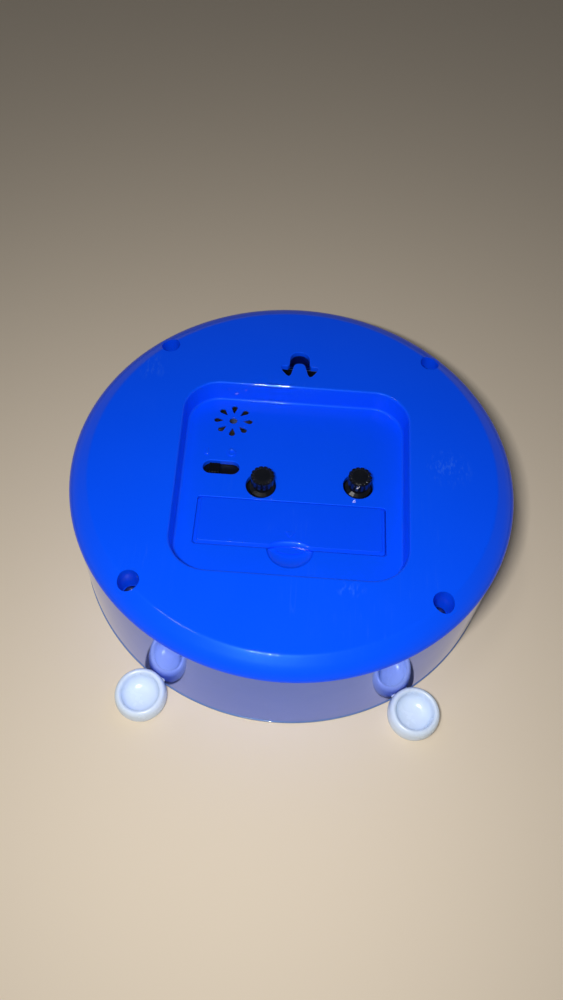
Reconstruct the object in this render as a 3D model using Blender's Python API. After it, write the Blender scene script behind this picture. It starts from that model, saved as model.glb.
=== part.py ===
"""Round quartz alarm clock with ball feet, lying on its glass, back cover up.

Metres, +Z up.  Z = 0 is the plane of the front glass, +Z runs out of the back
cover, +Y points to 12 o'clock and the hand axis is the Z axis.  Dimensions in
the constants below are millimetres; MM turns them into metres.
"""
import math

import bmesh
import bpy
from mathutils import Matrix, Vector
from mathutils.geometry import tessellate_polygon

MM = 0.001

# ---------------------------------------------------------------- dimensions
TOP = 41.5            # flat of the back cover above the front glass
RIM_Z = 36.5          # lower edge of the back cover
R_COVER = 72.5        # back cover radius
R_RING_REAR = 72.3    # drum wall radius at the back cover
R_RING_FRONT = 73.15  # drum wall radius at the bezel
R_BEZEL = 73.4        # bezel flange radius
RING_WALL = 2.0

REC_Z = 33.56         # floor of the control recess
REC_SKIN = 2.0        # thickness of that floor
REC_TOP_HW = 38.0     # half width at the flat, upper part
REC_BOT_HW = 36.7     # half width at the flat, lower end
REC_Y0, REC_Y1 = -41.25, 30.75
REC_R = 12.0          # corner radius
REC_DRAFT = 0.55      # draft of the recess wall over its depth

KNOB_TIME = (21.87, -2.84)
KNOB_ALARM = (-9.8, -5.1)
HOLE_TIME = (21.87, -2.84)
HOLE_ALARM = (-10.26, -5.12)
KNOB_HOLE_R = 5.0
KNOB_TOP = 39.3       # top of the serrated crowns
SLOT_C, SLOT_L, SLOT_W = (-24.0, 0.85), 12.2, 5.1
SWITCH_TRAVEL = 4.6
GRILLE_C, GRILLE_R = (-21.7, 20.7), 6.6

DOOR_X0, DOOR_X1 = -30.2, 30.7
DOOR_Y0, DOOR_Y1 = -28.4, -11.1
DOOR_T = 1.6
NOTCH_C = (0.55, -28.5)
NOTCH_RX, NOTCH_RY = 7.4, 6.7

SCREWS = ((46.3, 46.6), (-46.3, 46.6), (-46.3, -46.6), (46.3, -46.6))
WELL_R, WELL_Z = 3.28, 31.0

BATT_Y, BATT_Z, BATT_R = -19.75, 23.9, 7.1
BATT_X0, BATT_X1 = -23.6, 25.6

FOOT_R, FOOT_ORBIT, FOOT_Z, FOOT_ANG = 8.26, 81.0, 3.2, 32.5

# movement housing (inner faces are MOV_WALL inside these)
MOV_X0, MOV_X1, MOV_Y0, MOV_Y1 = -16.2, 29.0, -10.7, 28.0
MOV_Z0, MOV_SPLIT, MOV_Z1 = 10.6, 19.05, 27.5
MOV_WALL = 0.9

# gear train: module and centre distances
M_MOTION = 0.5        # cannon pinion 10, motion wheel 30/8, hour wheel 32, setting pinion 20
A_MOTION = 10.0
A_SETTING = 12.5
M_ALARM = 2 * math.hypot(*KNOB_ALARM) / 48      # alarm wheel 32, setting pinion 16
A_THIRD = 10.2
M_THIRD = 2 * A_THIRD / 51                      # second pinion 6, third wheel 45
M_CENTRE = 2 * A_THIRD / 54                     # third pinion 6, centre wheel 48
M_FAST = 0.4          # second wheel 36, intermediate 6/30, rotor pinion 6

SEG_BIG, SEG_MID, SEG_SMALL = 64, 24, 14


# ------------------------------------------------------------------- helpers
def clear_scene():
    for ob in list(bpy.data.objects):
        bpy.data.objects.remove(ob, do_unlink=True)


def material(name, rgb, rough, metal=0.0, alpha=1.0):
    mat = bpy.data.materials.get(name)
    if mat:
        return mat
    mat = bpy.data.materials.new(name)
    mat.use_nodes = True
    bsdf = mat.node_tree.nodes["Principled BSDF"]
    bsdf.inputs["Base Color"].default_value = (*rgb, 1.0)
    bsdf.inputs["Roughness"].default_value = rough
    bsdf.inputs["Metallic"].default_value = metal
    bsdf.inputs["Alpha"].default_value = alpha
    return mat


def add_object(name, bm, mat=None, origin=(0, 0, 0)):
    """Object from a bmesh whose points are millimetres about the clock's origin."""
    bmesh.ops.recalc_face_normals(bm, faces=bm.faces)
    o = Vector(origin)
    for v in bm.verts:
        v.co = (v.co - o) * MM
    me = bpy.data.meshes.new(name)
    bm.to_mesh(me)
    bm.free()
    ob = bpy.data.objects.new(name, me)
    ob.location = o * MM
    bpy.context.scene.collection.objects.link(ob)
    if mat:
        me.materials.append(mat)
    me.shade_smooth()
    me.set_sharp_from_angle(angle=math.radians(32))
    return ob


def prism(outline, z0, z1, holes=()):
    """Closed straight extrusion of an outline with holes."""
    loops = [list(outline)] + [list(h) for h in holes]
    bm = bmesh.new()
    lower, upper = [], []
    for loop in loops:
        lower.append([bm.verts.new((x, y, z0)) for x, y in loop])
        upper.append([bm.verts.new((x, y, z1)) for x, y in loop])
    flat_lo = [v for loop in lower for v in loop]
    flat_up = [v for loop in upper for v in loop]
    for tri in tessellate_polygon([[Vector((x, y, 0)) for x, y in loop] for loop in loops]):
        if len(set(tri)) == 3:
            bm.faces.new([flat_lo[i] for i in tri])
            bm.faces.new([flat_up[i] for i in tri])
    for lo, up in zip(lower, upper):
        n = len(lo)
        for i in range(n):
            j = (i + 1) % n
            bm.faces.new((lo[i], lo[j], up[j], up[i]))
    return bm


def lathe(profile, n=SEG_BIG, centre=(0, 0), phase=0.0):
    """Solid of revolution about Z from a closed (r, z) profile."""
    bm = bmesh.new()
    rings = []
    for r, z in profile:
        if r < 1e-6:
            rings.append([bm.verts.new((centre[0], centre[1], z))])
        else:
            rings.append([bm.verts.new((centre[0] + r * math.cos(phase + 2 * math.pi * k / n),
                                        centre[1] + r * math.sin(phase + 2 * math.pi * k / n), z))
                          for k in range(n)])
    for a, b in zip(rings, rings[1:] + rings[:1]):
        if len(a) == 1 and len(b) == 1:
            continue
        for k in range(n):
            j = (k + 1) % n
            if len(a) == 1:
                bm.faces.new((a[0], b[j], b[k]))
            elif len(b) == 1:
                bm.faces.new((a[k], a[j], b[0]))
            else:
                bm.faces.new((a[k], a[j], b[j], b[k]))
    return bm


def drum(r, z0, z1, n=SEG_MID, centre=(0, 0), phase=0.0):
    return lathe([(0, z0), (r, z0), (r, z1), (0, z1)], n, centre, phase)


def block(x0, x1, y0, y1, z0, z1):
    return prism([(x0, y0), (x1, y0), (x1, y1), (x0, y1)], z0, z1)


def circle(cx, cy, r, n, phase=0.0):
    return [(cx + r * math.cos(phase + 2 * math.pi * k / n),
             cy + r * math.sin(phase + 2 * math.pi * k / n)) for k in range(n)]


def stadium(cx, cy, length, width, n=6):
    r, h = width / 2, (length - width) / 2
    right = [(cx + h + r * math.sin(math.pi * k / n), cy - r * math.cos(math.pi * k / n)) for k in range(n + 1)]
    left = [(cx - h - r * math.sin(math.pi * k / n), cy + r * math.cos(math.pi * k / n)) for k in range(n + 1)]
    return right + left


def recess_outline(inset, n=5):
    """Rounded square, a little narrower towards 6 o'clock."""
    y0, y1, r = REC_Y0 + inset, REC_Y1 - inset, REC_R - inset
    top, bot = REC_TOP_HW - inset, REC_BOT_HW - inset
    pts = []
    for cx, cy, a0 in ((bot - r, y0 + r, -90), (top - r, y1 - r, 0), (-(top - r), y1 - r, 90), (-(bot - r), y0 + r, 180)):
        for k in range(n + 1):
            a = math.radians(a0 + 90 * k / n)
            pts.append((cx + r * math.cos(a), cy + r * math.sin(a)))
    return pts


def loft(outlines):
    """Closed solid through outlines (list of (points, z)) with equal counts."""
    bm = bmesh.new()
    rings = [[bm.verts.new((x, y, z)) for x, y in pts] for pts, z in outlines]
    n = len(rings[0])
    for a, b in zip(rings, rings[1:]):
        for k in range(n):
            j = (k + 1) % n
            bm.faces.new((a[k], a[j], b[j], b[k]))
    bm.faces.new(rings[0])
    bm.faces.new(rings[-1])
    bmesh.ops.triangulate(bm, faces=[f for f in bm.faces if len(f.verts) > 4])
    return bm


def gear_outline(cx, cy, teeth, module, phase):
    """Teeth with a narrow tip and a V gap; a tooth is centred on the phase."""
    r = module * teeth / 2
    pts = []
    for k in range(teeth):
        a = phase + 2 * math.pi * k / teeth
        p = 2 * math.pi / teeth
        for off, rad in ((-0.05, r + 0.7 * module), (0.05, r + 0.7 * module), (0.5, r - 1.5 * module)):
            pts.append((cx + rad * math.cos(a + off * p), cy + rad * math.sin(a + off * p)))
    return pts


def mesh_phase(teeth_a, phase_a, teeth_b, direction):
    """Phase of gear B so that a gap of B faces a tooth of A across the line of centres."""
    frac = ((direction - phase_a) * teeth_a / (2 * math.pi)) % 1.0
    return (direction + math.pi) - (0.5 - frac) * 2 * math.pi / teeth_b


def boolean(ob, bms, op):
    """Join or cut a list of bmesh solids (millimetres about the clock's origin)."""
    for bm in bms:
        tool = add_object("tool", bm)
        mod = ob.modifiers.new("b", 'BOOLEAN')
        mod.operation = op
        mod.solver = 'EXACT'
        mod.object = tool
        bpy.context.view_layer.update()
        dg = bpy.context.evaluated_depsgraph_get()
        me = bpy.data.meshes.new_from_object(ob.evaluated_get(dg))
        ob.modifiers.clear()
        old = ob.data
        ob.data = me
        me.name = old.name if old.users == 0 else ob.name
        bpy.data.objects.remove(tool, do_unlink=True)
    ob.data.shade_smooth()
    ob.data.set_sharp_from_angle(angle=math.radians(32))
    return ob


def join(ob, *bms):
    return boolean(ob, bms, 'UNION')


def cut(ob, *bms):
    return boolean(ob, bms, 'DIFFERENCE')


def turned(bm, matrix):
    bmesh.ops.transform(bm, matrix=matrix, verts=bm.verts)
    return bm


# ----------------------------------------------------------------- materials
def build_materials():
    return {
        "blue": material("blue_gloss_plastic", (0.0, 0.09, 0.95), 0.18),
        "mirror": material("blue_mirror_plating", (0.45, 0.55, 0.92), 0.06, 1.0),
        "foot": material("pale_lilac_plastic", (0.66, 0.76, 1.0), 0.3),
        "black": material("black_plastic", (0.01, 0.01, 0.012), 0.35),
        "glass": material("clear_acrylic", (0.95, 0.97, 1.0), 0.03, 0.0, 0.25),
        "white": material("white_plastic", (0.9, 0.9, 0.9), 0.4),
        "dial": material("dial_print", (0.93, 0.94, 0.97), 0.5),
        "hand": material("hand_metal", (0.02, 0.03, 0.12), 0.35, 0.6),
        "red": material("second_hand_red", (0.75, 0.03, 0.03), 0.35, 0.3),
        "yellow": material("alarm_hand_yellow", (0.9, 0.55, 0.03), 0.35, 0.3),
        "gear": material("natural_acetal", (0.85, 0.84, 0.78), 0.4),
        "steel": material("zinc_plated_steel", (0.62, 0.63, 0.65), 0.3, 1.0),
        "brass": material("brass", (0.78, 0.57, 0.22), 0.3, 1.0),
        "copper": material("copper_wire", (0.72, 0.3, 0.12), 0.35, 1.0),
        "board": material("circuit_board_green", (0.02, 0.2, 0.07), 0.4),
        "cell": material("battery_wrap", (0.05, 0.05, 0.06), 0.3),
        "rubber": material("rubber", (0.03, 0.03, 0.03), 0.8),
    }


# ---------------------------------------------------------------------- case
def make_back_cover(m):
    outer = [(0, TOP), (64.6, TOP), (66.7, TOP - 0.45), (69.3, TOP - 1.55), (71.4, TOP - 3.25), (R_COVER, RIM_Z)]
    inner = [(70.35, RIM_Z), (69.8, 37.6), (69.8, 33.6), (68.3, 33.6), (68.3, 38.6), (66.5, 39.5), (0, 39.5)]
    ob = add_object("back_cover", lathe(outer + inner, SEG_BIG), m["blue"])
    # recess tub, battery trough, screw posts
    tub = loft([(recess_outline(REC_DRAFT - 1.9), REC_Z - REC_SKIN), (recess_outline(-1.9), 40.2)])
    collar = block(-32.2, 32.7, -30.4, -9.3, 29.9, 32.4)
    trough = block(-29.8, 30.3, -28.4, -11.15, 15.3, 31.0)
    boss = block(-8.0, 9.1, -36.4, -30.0, 29.9, 32.4)
    posts = [drum(4.2, 29.0, 39.9, 16, c) for c in SCREWS]
    join(ob, tub, collar, boss, trough, *posts)
    pocket = loft([(recess_outline(REC_DRAFT), REC_Z), (recess_outline(-0.05), TOP + 0.7)])
    cut(ob, pocket)
    # battery bay and door pocket
    cut(ob, block(-28.6, 29.1, -27.2, -12.3, 16.5, 34.5))
    cut(ob, block(DOOR_X0 - 0.15, DOOR_X1 + 0.15, DOOR_Y0 - 0.15, DOOR_Y1 + 0.15, REC_Z - DOOR_T - 0.3, 34.5))
    # half-moon finger scoop below the door
    scoop = lathe([(0, -1.0)] + [(math.cos(math.radians(a)), math.sin(math.radians(a))) for a in range(-60, 1, 20)]
                  + [(1.0, 0.25), (0, 0.25)], 28)
    turned(scoop, Matrix.Translation((NOTCH_C[0], NOTCH_C[1], REC_Z)) @ Matrix.Diagonal((NOTCH_RX, NOTCH_RY, 2.5, 1)))
    clip = block(-8, 9, DOOR_Y0 - 0.1, DOOR_Y0 + 12, 20, 40)
    tool = add_object("tool_scoop", scoop)
    cut(tool, clip)
    sc = bmesh.new()
    sc.from_mesh(tool.data)
    for v in sc.verts:
        v.co = v.co / MM
    bpy.data.objects.remove(tool, do_unlink=True)
    cut(ob, sc)
    # knob holes, switch slot, hanger, sounder grille, screw wells
    cut(ob, drum(KNOB_HOLE_R, 28.5, 35.5, 24, HOLE_TIME), drum(KNOB_HOLE_R, 28.5, 35.5, 24, HOLE_ALARM))
    cut(ob, prism(stadium(*SLOT_C, SLOT_L, SLOT_W), 30.5, 35.0))
    cut(ob, prism(hanger_outline(), 38.5, TOP + 1))
    gx, gy = GRILLE_C
    cut(ob, drum(1.35, 30.5, 35.0, 12, GRILLE_C))
    for k in range(8):
        cut(ob, prism(petal(gx, gy, math.radians(45 * k)), 30.5, 35.0))
    for c in SCREWS:
        cut(ob, drum(WELL_R, WELL_Z, TOP + 1, 16, c))
        cut(ob, drum(1.6, 28.0, WELL_Z + 1, 10, c))
    return ob


def hanger_outline():
    """Arch with two wings round a central tongue."""
    arch = [(3.4 * math.cos(math.radians(a)), 43.9 + 3.4 * math.sin(math.radians(a))) for a in range(0, 181, 20)]
    return ([(-3.6, 35.9), (-2.5, 38.7), (-2.0, 41.2), (-1.2, 41.8), (1.2, 41.8), (2.0, 41.2), (2.6, 38.7), (3.8, 36.0),
             (5.7, 38.1), (6.4, 40.4), (3.6, 40.5)] + arch + [(-3.6, 40.3), (-6.4, 40.3), (-5.7, 38.0)])


def petal(cx, cy, a):
    """Drop shaped slot, wide end outwards."""
    pts = [(3.3, 0.0)]
    for t in range(-90, 91, 45):
        pts.append((5.6 + 0.95 * math.cos(math.radians(t)), 0.95 * math.sin(math.radians(t))))
    return [(cx + x * math.cos(a) - y * math.sin(a), cy + x * math.sin(a) + y * math.cos(a)) for x, y in pts]


def make_battery_door(m):
    # edge opposite the hinge is drawn in under the finger scoop
    cx = NOTCH_C[0]
    arc = []
    for k in range(0, 9):
        x = cx - NOTCH_RX + 2 * NOTCH_RX * k / 8
        arc.append((x, DOOR_Y0 + 1.2 * (1 - ((x - cx) / NOTCH_RX) ** 2)))
    outline = [(DOOR_X0, DOOR_Y0)] + arc + [(DOOR_X1, DOOR_Y0), (DOOR_X1, DOOR_Y1), (DOOR_X0, DOOR_Y1)]
    ob = add_object("battery_door", prism([(x * 1.0, y) for x, y in outline], REC_Z - DOOR_T, REC_Z), m["blue"],
                    origin=(0.25, DOOR_Y1, REC_Z))
    tab = [(cx + 5.0 * math.cos(math.radians(a)), DOOR_Y0 + 0.9 + 2.0 * math.sin(math.radians(a)))
           for a in range(180, 361, 20)]
    tab += [(cx + 5.0, DOOR_Y0 + 3.0), (cx - 5.0, DOOR_Y0 + 3.0)]
    join(ob, prism(tab, REC_Z - DOOR_T, REC_Z - 1.0))
    # shallow scoop in the door face
    scoop = lathe([(0, -1.0)] + [(math.cos(math.radians(a)), math.sin(math.radians(a))) for a in range(-60, 1, 20)]
                  + [(1.0, 0.25), (0, 0.25)], 24)
    turned(scoop, Matrix.Translation((NOTCH_C[0], NOTCH_C[1], REC_Z)) @ Matrix.Diagonal((NOTCH_RX, 3.2, 0.9, 1)))
    cut(ob, scoop)
    return ob


def make_case_ring(m):
    prof = [(R_RING_FRONT, 1.5), (R_RING_REAR, 36.2), (R_RING_REAR - RING_WALL, 36.2), (R_RING_FRONT - RING_WALL, 1.5)]
    ob = add_object("case_ring", lathe(prof, SEG_BIG), m["mirror"])
    adds = []
    for x, y in SCREWS:
        ang = math.atan2(y, x)
        adds.append(drum(3.5, 11.0, 28.7, 14, (x, y)))
        rib = block(64.0, 71.2, -1.2, 1.2, 11.0, 28.7)
        adds.append(turned(rib, Matrix.Rotation(ang, 4, 'Z')))
    join(ob, *adds)
    for c in SCREWS:
        cut(ob, drum(1.3, 16.0, 29.5, 8, c))
    for side in (-1, 1):
        for pin in foot_pins(1.4, 68.0, 76.0, side, 12):
            cut(ob, pin)
    return ob


def foot_matrix(side):
    """Frame at the drum axis whose +X runs out to a foot."""
    return Matrix.Translation((0, 0, FOOT_Z)) @ Matrix.Rotation(math.radians(-90 + side * FOOT_ANG), 4, 'Z')


def foot_pins(r, d0, d1, side, n):
    """Pair of drums running out from the drum axis at a foot's height."""
    mt = foot_matrix(side) @ Matrix.Rotation(math.radians(90), 4, 'Y')
    return [turned(drum(r, d0, d1, n, (0, y)), mt) for y in (-1.9, 1.9)]


def make_foot(name, side, m):
    """Hollow ball foot, flat at the level of the glass and seated on the rim with two pins."""
    R = FOOT_R
    outer = [(R * math.cos(math.radians(a)), R * math.sin(math.radians(a))) for a in (-20.9, -8, 5, 17)]
    rim = [(7.55, 3.3), (6.9, 3.7), (6.25, 3.4)]
    bowl = [(5.8, 2.3), (5.2, 0.8), (4.1, -0.5), (2.2, -1.15)]
    prof = [(0, outer[0][1])] + outer + rim + bowl + [(0, -1.3)]
    mt = foot_matrix(side) @ Matrix.Translation((FOOT_ORBIT, 0, 0))
    ob = add_object(name, turned(lathe(prof, 24), mt), m["foot"], origin=tuple(mt.translation))
    cut(ob, drum(73.7, -1.0, 12.0, 96))
    join(ob, *foot_pins(1.2, 70.95, 75.2, side, 12))
    return ob


def make_case_screw(name, c, m):
    prof = [(0, 17.5), (1.0, 19.5), (1.0, 31.3), (2.7, 31.3), (2.7, 32.4), (2.1, 33.2), (0, 33.2)]
    return add_object(name, lathe(prof, 12, c), m["steel"], origin=(c[0], c[1], 31.3))


def make_front(m):
    bezel = [(67.0, 0), (R_BEZEL, 0), (R_BEZEL, 1.2), (70.7, 1.2), (70.7, 6.4), (69.1, 6.4), (69.1, 1.4), (67.0, 1.4)]
    add_object("front_bezel", lathe(bezel, SEG_BIG), m["blue"])
    lens = [(0, 0), (66.7, 0), (66.7, 1.7), (68.8, 1.7), (68.8, 2.9), (66.0, 2.9), (0, 1.6)]
    add_object("front_lens", lathe(lens, SEG_BIG), m["glass"])
    ring = [(64.8, 3.2), (66.9, 3.2), (66.9, 8.7), (65.6, 8.7)]
    add_object("dial_ring", lathe(ring, SEG_BIG), m["white"])
    add_object("dial_plate", prism(circle(0, 0, 66.9, SEG_BIG), 9.0, 10.2, [circle(0, 0, 5.0, 16)]), m["dial"])
    add_object("dial_washer", prism(circle(0, 0, 8.0, 16), 10.27, 10.55, [circle(0, 0, 5.0, 16)]), m["rubber"])
    add_object("mounting_nut", prism(circle(0, 0, 7.2, 6), 7.75, 8.7, [circle(0, 0, 5.0, 16)]), m["brass"])


# --------------------------------------------------------------- electricals
def make_battery(m):
    mt = Matrix.Translation((0, BATT_Y, BATT_Z)) @ Matrix.Rotation(math.radians(90), 4, 'Y')
    x0, x1 = BATT_X0, BATT_X1
    prof = [(0, x0 + 0.3), (4.6, x0 + 0.3), (4.6, x0), (BATT_R - 0.5, x0), (BATT_R, x0 + 0.5), (BATT_R, x1 - 1.9),
            (BATT_R - 0.5, x1 - 1.4), (2.75, x1 - 1.2), (2.75, x1), (0, x1)]
    add_object("battery_cell", turned(lathe(prof, 24), mt), m["cell"], origin=(1.0, BATT_Y, BATT_Z))
    # flat positive contact with its tail, and the negative spring
    plus = [(26.0, -2.0), (27.1, -2.0), (27.1, -6.8), (27.5, -6.8), (27.5, 6.0), (27.1, 6.0), (27.1, 2.0), (26.0, 2.0)]
    ob = add_object("contact_positive", turned(prism(plus, -4.0, 4.0),
                    Matrix.Translation((0, BATT_Y, BATT_Z)) @ Matrix.Rotation(math.radians(90), 4, 'X')), m["steel"])
    wire = []
    turns, r0, r1 = 3.0, 5.4, 2.8
    steps = 36
    for k in range(steps + 1):
        t = k / steps
        a = 2 * math.pi * turns * t
        r = r0 + (r1 - r0) * t
        wire.append((-27.4 + 3.2 * t, BATT_Y + r * math.cos(a), BATT_Z + r * math.sin(a)))
    bm = tube(wire, 0.32, 5)
    add_object("contact_spring", bm, m["steel"])
    plate = block(-28.25, -27.95, BATT_Y - 6.0, BATT_Y + 6.0, BATT_Z - 6.8, BATT_Z + 6.0)
    add_object("contact_negative", plate, m["steel"])
    return ob


def tube(points, r, n):
    """Closed round tube along a list of points."""
    bm = bmesh.new()
    rings = []
    pts = [Vector(p) for p in points]
    ref = Vector((1, 0, 0))
    for i, p in enumerate(pts):
        a = pts[max(i - 1, 0)]
        b = pts[min(i + 1, len(pts) - 1)]
        t = (b - a).normalized()
        u = (ref - t * ref.dot(t))
        if u.length < 1e-4:
            u = Vector((0, 1, 0)) - t * t.y
        u.normalize()
        w = t.cross(u)
        rings.append([bm.verts.new(p + r * (math.cos(2 * math.pi * k / n) * u + math.sin(2 * math.pi * k / n) * w))
                      for k in range(n)])
    for a, b in zip(rings, rings[1:]):
        for k in range(n):
            j = (k + 1) % n
            bm.faces.new((a[k], a[j], b[j], b[k]))
    bm.faces.new(rings[0])
    bm.faces.new(rings[-1])
    bmesh.ops.triangulate(bm, faces=[f for f in bm.faces if len(f.verts) > 4])
    return bm


def make_switch(m):
    cx, cy = SLOT_C
    body = add_object("alarm_switch_body", block(cx - 7.0, cx + 7.0, cy - 3.8, cy + 3.8, 24.5, 29.9), m["black"])
    cut(body, block(cx - 6.2, cx + 6.2, cy - 1.3, cy + 1.3, 27.0, 31.0))
    nx = cx - SWITCH_TRAVEL / 2
    slider = add_object("alarm_switch_slider", prism([(nx - 1.9, cy - 1.95), (nx + 1.9, cy - 1.95), (nx + 1.9, cy + 1.95), (nx - 1.9, cy + 1.95)],
                        30.6, REC_Z - 0.35), m["black"], origin=(nx, cy, 30.5))
    join(slider, block(nx - 9.0, nx + 9.6, cy - 3.4, cy + 3.4, 30.2, 31.2),
         block(nx - 1.5, nx + 1.5, cy - 1.0, cy + 1.0, 27.4, 30.7))
    for k in (-1, 0, 1):
        cut(slider, block(nx + k * 1.1 - 0.2, nx + k * 1.1 + 0.2, cy - 2.4, cy + 2.4, REC_Z - 0.75, REC_Z))


def make_buzzer(m):
    gx, gy = GRILLE_C
    add_object("buzzer_holder", lathe([(9.4, 27.8), (12.2, 27.8), (12.2, 31.2), (10.6, 31.2), (10.6, 29.0), (9.4, 29.0)],
                                      24, GRILLE_C), m["black"])
    add_object("buzzer_disc", lathe([(0, 29.3), (10.2, 29.3), (10.2, 29.65), (7.5, 29.65), (7.5, 29.95), (0, 29.95)],
                                    24, GRILLE_C), m["brass"])


# ------------------------------------------------------------------ movement
def make_movement_case(m):
    x0, x1, y0, y1, w = MOV_X0, MOV_X1, MOV_Y0, MOV_Y1, MOV_WALL
    front = add_object("movement_front_case", block(x0, x1, y0, y1, MOV_Z0, MOV_SPLIT - 0.15), m["white"])
    cut(front, block(x0 + w, x1 - w, y0 + w, y1 - w, MOV_Z0 + 1.0, 30))
    join(front, drum(4.7, 7.3, MOV_Z0 + 0.5, 16))
    cut(front, drum(3.6, 7.0, 14, 16))
    rear = add_object("movement_rear_case", block(x0, x1, y0, y1, MOV_SPLIT + 0.15, MOV_Z1), m["black"])
    cut(rear, block(x0 + w, x1 - w, y0 + w, y1 - w, 15, MOV_Z1 - 1.0))
    cut(rear, drum(1.7, 25, 29, 12, KNOB_TIME), drum(1.7, 25, 29, 12, KNOB_ALARM))
    bridge = [(x0 + w + 0.3, y0 + w + 0.3), (x1 - w - 0.3, y0 + w + 0.3), (x1 - w - 0.3, 17.2), (x0 + w + 0.3, 17.2)]
    holes = [circle(0, 0, 1.9, 16), circle(*KNOB_TIME, 1.6, 12), circle(*KNOB_ALARM, 1.6, 12),
             circle(*THIRD, 0.8, 10), circle(*INTER, 0.8, 10), circle(*ROTOR, 0.8, 10)]
    add_object("train_bridge", prism(bridge, 19.3, 19.7, holes), m["white"])


def axis_between(a, b, ra, rb, side):
    """Point at distance ra from a and rb from b."""
    dx, dy = b[0] - a[0], b[1] - a[1]
    d = math.hypot(dx, dy)
    k = (ra * ra - rb * rb + d * d) / (2 * d)
    h = side * math.sqrt(max(ra * ra - k * k, 0))
    return (a[0] + (k * dx - h * dy) / d, a[1] + (k * dy + h * dx) / d)


MOTION = axis_between((0, 0), KNOB_TIME, A_MOTION, A_SETTING, 1)
THIRD = (A_THIRD * math.cos(math.radians(110)), A_THIRD * math.sin(math.radians(110)))
INTER = (8.4 * math.cos(math.radians(45)), 8.4 * math.sin(math.radians(45)))
ROTOR = (INTER[0] + 7.2 * math.cos(math.radians(60)), INTER[1] + 7.2 * math.sin(math.radians(60)))


def direction(a, b):
    return math.atan2(b[1] - a[1], b[0] - a[0])


def wheel(name, c, parts, arbor, mat, bore=0.0):
    """Wheel or pinion cluster: parts = (teeth, module, phase, z0, z1); arbor = (r, z0, z1)."""
    r, a0, a1 = arbor
    ob = add_object(name, drum(r, a0, a1, SEG_SMALL, c), mat, origin=(c[0], c[1], a0))
    for teeth, module, phase, z0, z1 in parts:
        join(ob, prism(gear_outline(c[0], c[1], teeth, module, phase), z0, z1))
    if bore:
        cut(ob, drum(bore, a0 - 2, a1 + 2, SEG_SMALL, c))
    return ob


def make_train(m):
    o = (0.0, 0.0)
    # motion work: cannon pinion, motion wheel and pinion, hour wheel, setting pinion
    d = direction(o, MOTION)
    ph_motion = mesh_phase(10, 0.0, 30, d)
    ph_hour = mesh_phase(8, 0.0, 32, d + math.pi)
    ph_set = mesh_phase(30, ph_motion, 20, direction(MOTION, KNOB_TIME))
    wheel("cannon_pinion", o, [(10, M_MOTION, 0.0, 15.9, 17.3)], (1.5, 4.2, 17.9), m["brass"], bore=0.9)
    wheel("motion_wheel", MOTION, [(30, M_MOTION, ph_motion, 16.1, 17.1), (8, M_MOTION, 0.0, 13.9, 16.3)],
          (0.6, 11.9, 18.9), m["gear"])
    wheel("hour_wheel", o, [(32, M_MOTION, ph_hour, 14.2, 15.2)], (2.4, 5.3, 15.5), m["gear"], bore=1.8)
    # alarm setting pair
    ph_alarm = mesh_phase(16, 0.0, 32, direction(KNOB_ALARM, o))
    wheel("alarm_wheel", o, [(32, M_ALARM, ph_alarm, 12.3, 13.3)], (3.3, 6.2, 13.8), m["gear"], bore=2.7)
    # going train
    ph_third = mesh_phase(6, 0.0, 45, direction(o, THIRD))
    ph_centre = mesh_phase(6, 0.0, 48, direction(THIRD, o))
    ph_inter = mesh_phase(36, 0.0, 6, direction(o, INTER))
    ph_rotor = mesh_phase(30, 0.0, 6, direction(INTER, ROTOR))
    add_object("centre_wheel", prism(gear_outline(0, 0, 48, M_CENTRE, ph_centre), 18.25, 18.95,
                                     [circle(0, 0, 1.2, SEG_SMALL)]), m["gear"])
    wheel("third_wheel", THIRD, [(45, M_THIRD, ph_third, 20.1, 20.8), (6, M_CENTRE, 0.0, 18.15, 19.0)],
          (0.45, 11.9, 26.2), m["gear"])
    wheel("second_wheel", o, [(6, M_THIRD, 0.0, 20.0, 21.0), (36, M_FAST, 0.0, 21.6, 22.4)],
          (0.55, 2.9, 26.2), m["gear"])
    wheel("intermediate_wheel", INTER, [(6, M_FAST, ph_inter, 21.4, 22.6), (30, M_FAST, 0.0, 23.1, 23.9)],
          (0.45, 19.1, 26.2), m["gear"])
    rotor = wheel("rotor", ROTOR, [(6, M_FAST, ph_rotor, 22.9, 24.1)], (0.45, 19.1, 26.2), m["gear"])
    join(rotor, drum(2.4, 20.3, 22.6, 16, ROTOR))
    # knobs with their setting pinions
    make_knob("time_set_knob", KNOB_TIME, (20, M_MOTION, ph_set, 16.0, 17.3), m)
    make_knob("alarm_set_knob", KNOB_ALARM, (16, M_ALARM, 0.0, 12.1, 13.5), m)


def make_knob(name, c, pinion, m):
    """Serrated crown on a splined neck, shaft and pinion below it."""
    prof = [(0, 11.9), (1.2, 11.9), (1.2, 28.0), (2.6, 28.0), (2.6, 31.5), (4.3, 31.5), (4.3, 32.8), (3.0, 33.4),
            (3.0, KNOB_TOP - 0.3), (0, KNOB_TOP)]
    ob = add_object(name, lathe(prof, 16, c), m["black"], origin=(c[0], c[1], 28.0))
    n = 14
    crown = []
    for k in range(n):
        a = 2 * math.pi * k / n
        for off, r in ((-0.25, 3.85), (0.25, 3.85), (0.5, 3.35)):
            crown.append((c[0] + r * math.cos(a + off * 2 * math.pi / n), c[1] + r * math.sin(a + off * 2 * math.pi / n)))
    rings = prism(crown, KNOB_TOP - 3.4, KNOB_TOP - 0.5)
    join(ob, rings)
    teeth, module, phase, z0, z1 = pinion
    join(ob, prism(gear_outline(c[0], c[1], teeth, module, phase), z0, z1))
    return ob


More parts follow.
